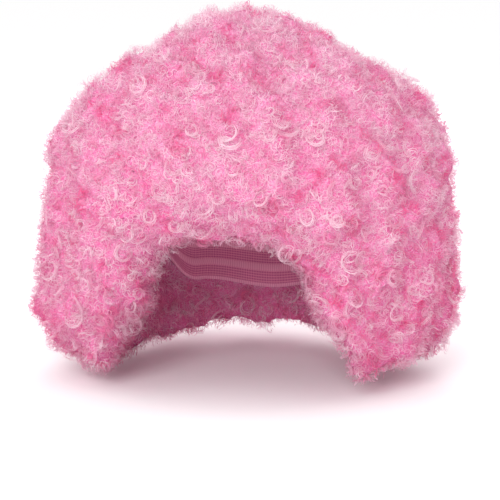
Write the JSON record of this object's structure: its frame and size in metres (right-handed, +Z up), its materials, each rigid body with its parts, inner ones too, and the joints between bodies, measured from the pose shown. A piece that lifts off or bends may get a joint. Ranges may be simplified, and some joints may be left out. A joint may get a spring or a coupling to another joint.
{
  "type": "afro wig",
  "caption": "Curly afro wig: a deep round ball of tight pink curls sewn over a stretch cap, open at the face and hollow for the head, worn as a costume.",
  "frame": {"origin": "inside of the cap's crown, where the top of the head bears", "axes": "+Z up as worn, -Y the way the wearer faces, +X towards the wearer's left"},
  "size_m": [0.3325, 0.308, 0.2825],
  "materials": {
    "hair_fibre": "soft curled synthetic fibre, slightly shiny",
    "cap_fabric": "matt stretch knit"
  },
  "bodies": {
    "root": {"cap": "cap_fabric", "hair_crown": "hair_fibre", "hair_front": "hair_fibre", "hair_left": "hair_fibre", "hair_right": "hair_fibre", "hair_back": "hair_fibre"}
  },
  "joints": []
}
